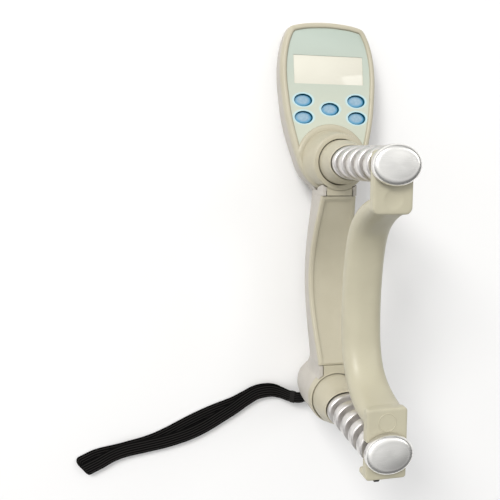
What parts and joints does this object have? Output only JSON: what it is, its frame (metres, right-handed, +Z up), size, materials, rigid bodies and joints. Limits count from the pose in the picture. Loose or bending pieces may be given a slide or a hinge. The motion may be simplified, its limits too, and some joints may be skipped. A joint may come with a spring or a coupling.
{
  "type": "hand dynamometer",
  "caption": "Electronic hand-grip strength meter with a leaning display head, grooved aluminium posts, a hooked squeeze handle and a wrist strap.",
  "frame": {"origin": "middle of the instrument's outline (without its strap) on the plane its back rests on", "axes": "+Y from the lower post to the display along the instrument's length, +Z up along the two posts away from the back, +X across to the instrument's right as the display is read"},
  "size_m": [0.1833, 0.2852, 0.1333],
  "materials": {
    "cream_plastic": "satin moulded",
    "grey_cream_plastic": "fine matte moulded",
    "label_film": "printed film",
    "window_plastic": "clear moulded",
    "blue_rubber": "satin",
    "turned_aluminium": "turned and brushed",
    "plated_steel": "plated",
    "circuit_board": "solder resist",
    "black_plastic": "moulded",
    "black_webbing": "woven",
    "battery_skin": "printed sleeve",
    "gauge_foil": "etched foil"
  },
  "bodies": {
    "housing": {"rear_housing": "grey_cream_plastic", "head_front_shell": "cream_plastic", "label_overlay": "label_film", "display_window": "window_plastic", "lcd_module": "window_plastic", "circuit_board": "circuit_board", "keypad_mat": "blue_rubber", "signal_connector": "black_plastic", "signal_cable": "black_plastic", "battery_1": "battery_skin", "battery_2": "battery_skin", "battery_contact_minus": "plated_steel", "battery_contact_plus": "plated_steel", "housing_screw_1": "plated_steel", "housing_screw_2": "plated_steel", "housing_screw_3": "plated_steel", "housing_screw_4": "plated_steel", "upper_collar": "cream_plastic", "lower_collar": "cream_plastic", "upper_post": "turned_aluminium", "lower_post": "turned_aluminium", "upper_post_bolt": "plated_steel", "lower_post_bolt": "plated_steel", "load_beam": "turned_aluminium", "strain_gauge_1": "gauge_foil", "strain_gauge_2": "gauge_foil", "strain_gauge_3": "gauge_foil", "strain_gauge_4": "gauge_foil", "spine_front_cover": "cream_plastic", "lower_boss_cover": "grey_cream_plastic", "wrist_strap": "black_webbing", "strap_pin": "plated_steel"},
    "handle": {"grip_handle": "cream_plastic"},
    "clip": {"handle_clip": "black_plastic"},
    "door": {"battery_door": "grey_cream_plastic"},
    "key_upper_left_body": {"key_upper_left": "blue_rubber"},
    "key_upper_right_body": {"key_upper_right": "blue_rubber"},
    "key_lower_left_body": {"key_lower_left": "blue_rubber"},
    "key_lower_right_body": {"key_lower_right": "blue_rubber"},
    "key_centre_body": {"key_centre": "blue_rubber"}
  },
  "joints": [
    {"name": "handle_swing", "type": "hinge", "parent": "housing", "child": "handle", "pos_m": [0, 0.0374, 0.12165], "axis": [0, 0, 1], "range_deg": [0, 7]},
    {"name": "clip_slide", "type": "slide", "parent": "handle", "child": "clip", "axis": [0, -1, 0], "range_m": [0, 0.002], "stiffness_N_per_m": 150},
    {"name": "door_slide", "type": "slide", "parent": "housing", "child": "door", "axis": [0, -1, 0], "range_m": [0, 0.007]},
    {"name": "key_upper_left_press", "type": "slide", "parent": "housing", "child": "key_upper_left_body", "axis": [0, -0.1819, -0.9833], "range_m": [0, 0.0008], "stiffness_N_per_m": 600},
    {"name": "key_upper_right_press", "type": "slide", "parent": "housing", "child": "key_upper_right_body", "axis": [0, -0.1819, -0.9833], "range_m": [0, 0.0008], "stiffness_N_per_m": 600},
    {"name": "key_lower_left_press", "type": "slide", "parent": "housing", "child": "key_lower_left_body", "axis": [0, -0.1819, -0.9833], "range_m": [0, 0.0008], "stiffness_N_per_m": 600},
    {"name": "key_lower_right_press", "type": "slide", "parent": "housing", "child": "key_lower_right_body", "axis": [0, -0.1819, -0.9833], "range_m": [0, 0.0008], "stiffness_N_per_m": 600},
    {"name": "key_centre_press", "type": "slide", "parent": "housing", "child": "key_centre_body", "axis": [0, -0.1819, -0.9833], "range_m": [0, 0.0008], "stiffness_N_per_m": 600}
  ]
}
